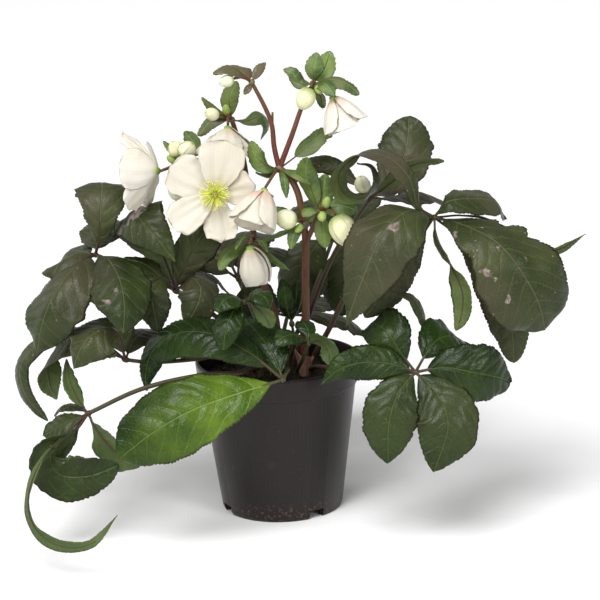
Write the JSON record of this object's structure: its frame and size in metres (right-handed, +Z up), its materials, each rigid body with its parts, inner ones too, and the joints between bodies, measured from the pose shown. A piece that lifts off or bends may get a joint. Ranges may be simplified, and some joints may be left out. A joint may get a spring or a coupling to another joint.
{
  "type": "potted hellebore plant",
  "caption": "Hellebore (Christmas rose) with white flowers, drooping dark toothed leaves and reddish stalks, in soil in a black plastic nursery pot that stands flat on its foot.",
  "frame": {"origin": "centre of the round pad in the middle of the pot's underside, in the plane that the pot stands on", "axes": "Z up; the front of the plant looks towards -Y; X to the right seen from the front"},
  "size_m": [0.4495, 0.3478, 0.3655],
  "materials": {
    "pot_plastic": "satin near-black plastic, dusty brown at the foot",
    "soil": "dry brown peat",
    "leaf_old": "leathery grey-green leaf, soft gloss",
    "leaf_young": "fresh green leaf, glossy",
    "stem": "smooth reddish brown stalk",
    "bract": "mid-green bract",
    "sepal": "thin warm white sepal, matt",
    "stamen": "lime yellow stamens",
    "bud": "cream green-tinted bud, matt"
  },
  "bodies": {
    "root": {"pot": "pot_plastic", "soil": "soil", "leaf_left_high": "leaf_old", "leaf_left_inner": "leaf_old", "leaf_left_low": "leaf_old", "leaf_left_front": "leaf_old", "leaf_front": "leaf_young", "leaf_right_low": "leaf_old", "leaf_right_high": "leaf_old", "leaf_right_top": "leaf_old", "leaf_back_left": "leaf_old", "leaf_back_right": "leaf_old", "leaf_back_low": "leaf_old", "young_leaf_left": "leaf_young", "young_leaf_right": "leaf_young", "young_leaf_centre": "leaf_young", "flower_stem_right": "stem", "flower_stem_left": "stem", "bracts_top_left": "bract", "bracts_top_right": "bract", "bracts_fork": "bract", "bracts_right": "bract", "bracts_middle": "bract", "bracts_left_top": "bract", "bracts_left_side": "bract", "bracts_over_bell": "bract", "bracts_left_middle": "bract", "flower_front": "sepal", "flower_front_stamens": "stamen", "flower_left": "sepal", "flower_left_stamens": "stamen", "flower_nodding": "sepal", "flower_nodding_stamens": "stamen", "flower_turned": "sepal", "flower_turned_stamens": "stamen", "flower_top": "sepal", "flower_top_stamens": "stamen", "flower_closed": "sepal", "bud_top": "bud", "bud_top_left": "bud", "bud_right": "bud", "bud_centre": "bud", "bud_inner": "bud", "bud_pair_left": "bud", "bud_pair_right": "bud", "bud_side": "bud", "bud_left": "bud"}
  },
  "joints": []
}
